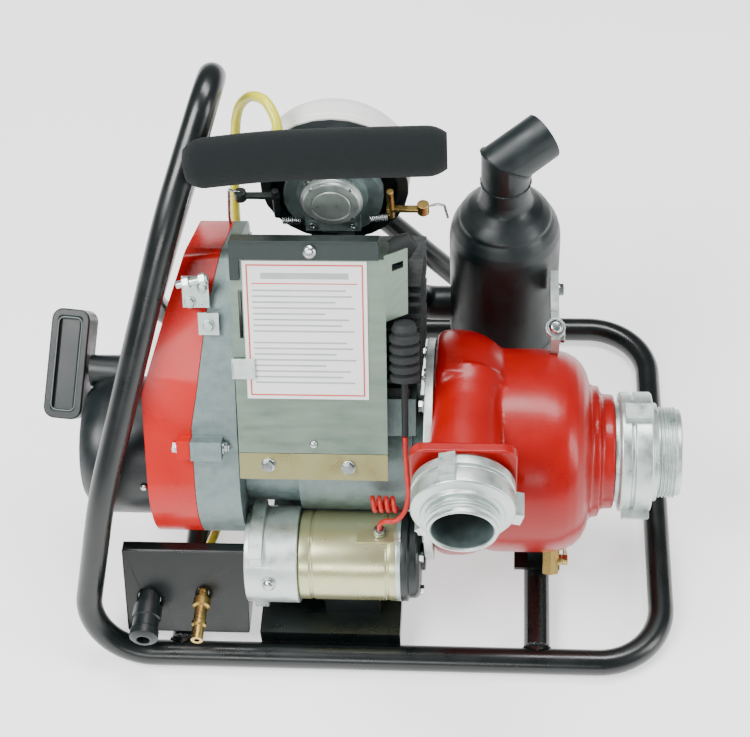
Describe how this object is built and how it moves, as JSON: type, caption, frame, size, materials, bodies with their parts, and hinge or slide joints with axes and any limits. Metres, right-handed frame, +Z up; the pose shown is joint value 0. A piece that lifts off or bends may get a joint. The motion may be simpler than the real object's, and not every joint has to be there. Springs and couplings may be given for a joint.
{
  "type": "portable fire pump",
  "caption": "Engine-driven centrifugal fire pump in a bent tube carrying frame, with electric and recoil starting, threaded suction and discharge couplings.",
  "frame": {"origin": "on the ground under the middle of the front rail", "axes": "+X along the crankshaft towards the suction coupling, +Y from the front rail to the back rail, +Z up"},
  "size_m": [0.4612, 0.3425, 0.3878],
  "materials": {
    "frame_black": "satin powder coat on 19 mm steel tube",
    "foam_black": "matt closed-cell foam sleeve",
    "rubber_black": "matt moulded rubber",
    "brass": "machined",
    "plastic_black": "moulded, satin",
    "cast_grey": "sand cast, matt",
    "steel": "turned",
    "fin_dark": "cast fins, matt black heat paint",
    "cover_red": "gloss red enamel",
    "rope": "braided cord",
    "steel_dark": "satin dark plate",
    "alloy_pale": "die cast, bright",
    "filter_foam": "open foam",
    "plastic_white": "moulded, semi-gloss",
    "sheet_grey": "pressed sheet, satin",
    "sheet_gold": "zinc-yellow plated sheet",
    "card_white": "printed card, plain ruled lines only",
    "exhaust_black": "satin heat-proof paint",
    "starter_gold": "zinc-yellow plated",
    "hose_yellow": "soft clear-yellow fuel tube",
    "wire_red": "insulated wire",
    "pump_red": "gloss red enamel on cast alloy",
    "bronze": "cast bronze"
  },
  "bodies": {
    "frame_and_engine": {"frame_loop": "frame_black", "crossbar_right": "frame_black", "crossbar_left": "frame_black", "rear_brace": "frame_black", "handle_tube": "frame_black", "handle_grip": "foam_black", "engine_tray": "frame_black", "rubber_mount_1": "rubber_black", "rubber_mount_2": "rubber_black", "rubber_mount_3": "rubber_black", "rubber_mount_4": "rubber_black", "connector_box": "frame_black", "fuel_connector": "brass", "remote_connector": "plastic_black", "crankcase": "cast_grey", "cylinder": "fin_dark", "cylinder_head": "fin_dark", "spark_plug": "steel", "plug_boot": "rubber_black", "ignition_boot": "rubber_black", "fan_housing": "cast_grey", "fan_cover": "cover_red", "recoil_cover": "plastic_black", "intake_manifold": "steel_dark", "carburettor": "cast_grey", "carb_cap": "alloy_pale", "air_filter_base": "plastic_black", "air_filter_element": "filter_foam", "air_filter_cover": "plastic_white", "cowl": "sheet_grey", "cowl_foot": "sheet_gold", "instruction_card": "card_white", "muffler": "exhaust_black", "exhaust_pipe": "exhaust_black", "tail_elbow": "exhaust_black", "muffler_stay": "alloy_pale", "starter_body": "starter_gold", "starter_drive_housing": "alloy_pale", "starter_end_cap": "plastic_black", "fuel_hose": "hose_yellow", "starter_lead": "wire_red", "pump_backplate": "alloy_pale", "shaft_seal": "rubber_black", "volute_casing": "pump_red", "suction_cover": "pump_red", "discharge_neck": "pump_red", "discharge_adapter": "alloy_pale", "suction_adapter": "alloy_pale", "drain_cock": "brass"},
    "crank_rotor": {"crankshaft": "steel", "flywheel": "cast_grey", "impeller": "bronze"},
    "starter_rotor": {"starter_armature": "steel"},
    "recoil_handle": {"recoil_grip": "plastic_black", "recoil_rope": "rope"},
    "recoil_spool": {"recoil_pulley": "plastic_black"},
    "throttle": {"throttle_lever": "brass"},
    "choke": {"choke_lever": "steel_dark"},
    "drain": {"drain_lever": "brass"},
    "piston_body": {"piston": "cast_grey"}
  },
  "joints": [
    {"name": "crank_spin", "type": "hinge", "parent": "frame_and_engine", "child": "crank_rotor", "pos_m": [0, 0.108, 0.122], "axis": [1, 0, 0], "continuous": true},
    {"name": "starter_spin", "type": "hinge", "parent": "frame_and_engine", "child": "starter_rotor", "pos_m": [0, 0.046, 0.075], "axis": [1, 0, 0], "continuous": true},
    {"name": "recoil_pull", "type": "slide", "parent": "frame_and_engine", "child": "recoil_handle", "axis": [-1, 0, 0], "range_m": [0, 0.5], "stiffness_N_per_m": 15, "springref_m": -0.5},
    {"name": "spool_spin", "type": "hinge", "parent": "frame_and_engine", "child": "recoil_spool", "pos_m": [-0.169, 0.108, 0.122], "axis": [1, 0, 0], "range_deg": [0, 930]},
    {"name": "throttle_turn", "type": "hinge", "parent": "frame_and_engine", "child": "throttle", "pos_m": [0.016, 0.189, 0.29], "axis": [0, 0, 1], "range_deg": [-60, 0]},
    {"name": "choke_turn", "type": "hinge", "parent": "frame_and_engine", "child": "choke", "pos_m": [-0.062, 0.189, 0.29], "axis": [0, 0, 1], "range_deg": [0, 70]},
    {"name": "drain_turn", "type": "hinge", "parent": "frame_and_engine", "child": "drain", "pos_m": [0.1383, 0.05698, 0.05781], "axis": [1, 0, 0], "range_deg": [-90, 0]},
    {"name": "piston_stroke", "type": "slide", "parent": "frame_and_engine", "child": "piston_body", "axis": [0, 0.4695, 0.8829], "range_m": [-0.048, 0]}
  ],
  "couplings": [
    {"joint": "spool_spin", "follows": "recoil_pull", "rad_per_m": 32.258}
  ]
}
